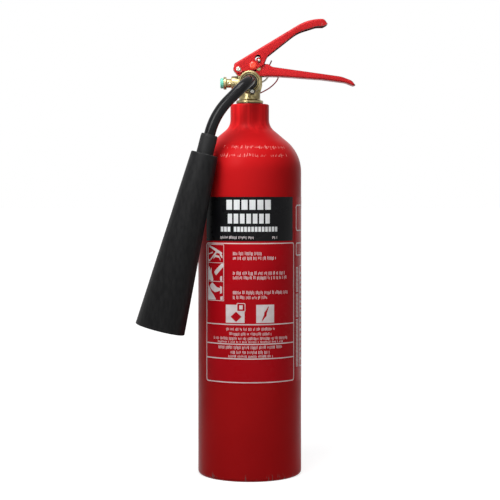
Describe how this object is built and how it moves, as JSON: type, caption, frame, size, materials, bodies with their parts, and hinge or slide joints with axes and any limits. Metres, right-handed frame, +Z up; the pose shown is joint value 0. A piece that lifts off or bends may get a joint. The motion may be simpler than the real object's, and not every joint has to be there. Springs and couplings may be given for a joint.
{
  "type": "portable carbon dioxide fire extinguisher",
  "caption": "Hand-held carbon dioxide fire extinguisher: red steel cylinder, brass squeeze-lever valve, carry handle, safety pin and swivelling black discharge horn.",
  "frame": {"origin": "centre of the cylinder's flat base", "axes": "+Z up along the cylinder's axis, +X the way the levers point, the horn hangs in front on -Y"},
  "size_m": [0.2342, 0.1354, 0.4928],
  "materials": {
    "red_paint": "satin red paint over steel",
    "lever_paint": "bright red powder coat over pressed steel",
    "brass": "cast and machined brass, slightly dulled",
    "plated_steel": "bright zinc plate",
    "spring_steel": "drawn wire",
    "black_steel": "black oxide",
    "black_gloss": "gloss black paint on steel pipe",
    "horn_plastic": "moulded black plastic, fine grain",
    "sleeve_rubber": "matte black rubber",
    "rubber": "black seal rubber",
    "green_plastic": "green moulded cap",
    "red_plastic": "red moulded strap",
    "aluminium": "drawn tube",
    "label_print": "printed film, black panel and white lines on red",
    "side_print": "printed film, white marks on red"
  },
  "bodies": {
    "extinguisher": {"gas_cylinder": "red_paint", "front_label": "label_print", "side_label": "side_print", "neck_seal": "rubber", "valve_body": "brass", "dip_tube": "aluminium", "inlet_plug": "brass", "closing_spring": "spring_steel", "stem_seal": "rubber", "gland_nut": "brass", "burst_disc_holder": "brass", "burst_disc": "plated_steel", "burst_cap": "green_plastic", "carry_handle": "lever_paint", "handle_rivet": "brass", "pivot_pin": "plated_steel", "retaining_screw": "plated_steel", "retaining_washer": "black_steel"},
    "stem": {"valve_stem": "plated_steel", "seat_washer": "rubber"},
    "lever": {"squeeze_lever": "lever_paint", "push_rivet": "lever_paint"},
    "pin": {"safety_pin": "plated_steel", "tamper_seal": "red_plastic"},
    "ring": {"pull_ring": "plated_steel"},
    "horn": {"swivel_collar": "black_steel", "swivel_seal": "rubber", "horn_pipe": "black_gloss", "coupling_sleeve": "sleeve_rubber", "horn_jet": "brass", "discharge_horn": "horn_plastic"}
  },
  "joints": [
    {"name": "lever_squeeze", "type": "hinge", "parent": "extinguisher", "child": "lever", "pos_m": [-0.0121, 0, 0.43811], "axis": [0, 1, 0], "range_deg": [0, 10], "stiffness_Nm_per_rad": 0.8, "springref_deg": -22.92},
    {"name": "stem_slide", "type": "slide", "parent": "extinguisher", "child": "stem", "axis": [0, 0, -1], "range_m": [0, 0.0029], "deforming": ["closing_spring"]},
    {"name": "safety_pin_pull", "type": "slide", "parent": "extinguisher", "child": "pin", "axis": [0, 1, 0], "range_m": [0, 0.03]},
    {"name": "ring_swing", "type": "hinge", "parent": "pin", "child": "ring", "pos_m": [0.0101, 0.0161, 0.44771], "axis": [1, 0, 0], "range_deg": [0, 90]},
    {"name": "horn_swivel", "type": "hinge", "parent": "extinguisher", "child": "horn", "pos_m": [0, -0.02, 0.42351], "axis": [0, 1, 0], "range_deg": [0, 110]}
  ],
  "couplings": [
    {"joint": "stem_slide", "follows": "lever_squeeze", "m_per_rad": 0.015977}
  ]
}
